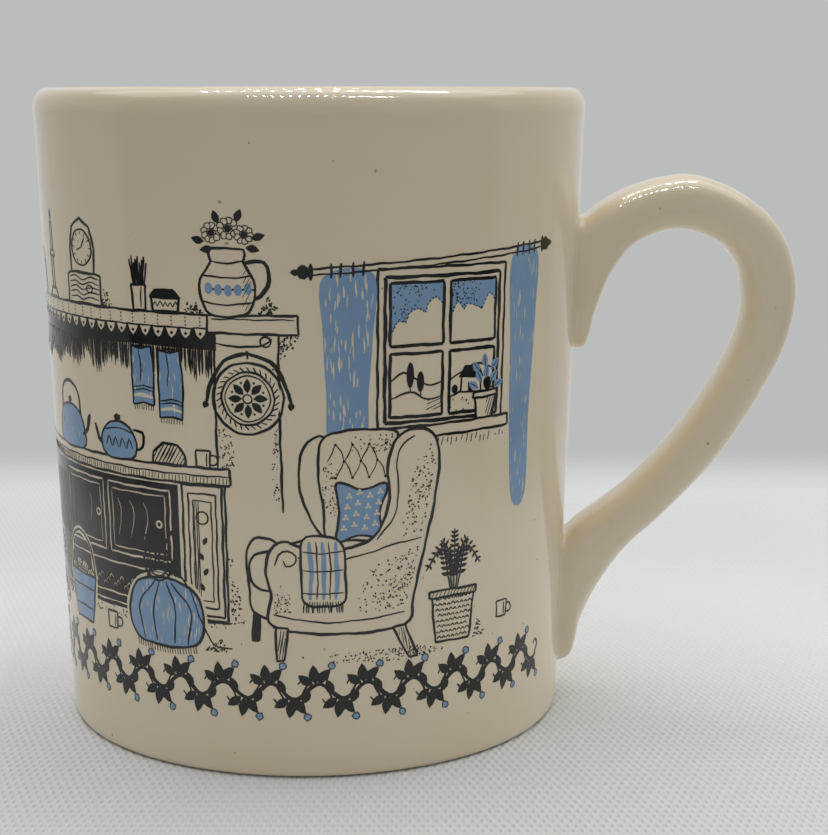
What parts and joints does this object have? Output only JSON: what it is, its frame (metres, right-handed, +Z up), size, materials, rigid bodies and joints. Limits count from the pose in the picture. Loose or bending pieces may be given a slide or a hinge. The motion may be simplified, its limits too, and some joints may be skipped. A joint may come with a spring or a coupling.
{
  "type": "ceramic mug",
  "caption": "Straight-sided glazed ceramic mug, slightly wider at the mouth, with a loop handle, a foot ring and a printed wrap band.",
  "frame": {"origin": "centre of the foot ring's resting plane, on the cup's axis", "axes": "+Z up to the mouth along the cup's axis, +X towards the handle, +Y to the side that completes a right-handed frame"},
  "size_m": [0.1151, 0.0824, 0.095],
  "materials": {
    "clay": "matt fired clay, bare on the foot ring",
    "slip": "matt fired slip, sealed between handle and cup",
    "glaze": "glossy cream glaze",
    "print_blue": "glossy light blue transfer colour",
    "print_black": "glossy black transfer colour"
  },
  "bodies": {
    "root": {"cup_body": "clay", "handle": "clay", "upper_joint_slip": "slip", "lower_joint_slip": "slip", "cup_glaze": "glaze", "handle_glaze": "glaze", "transfer_blue": "print_blue", "transfer_black": "print_black"}
  },
  "joints": []
}
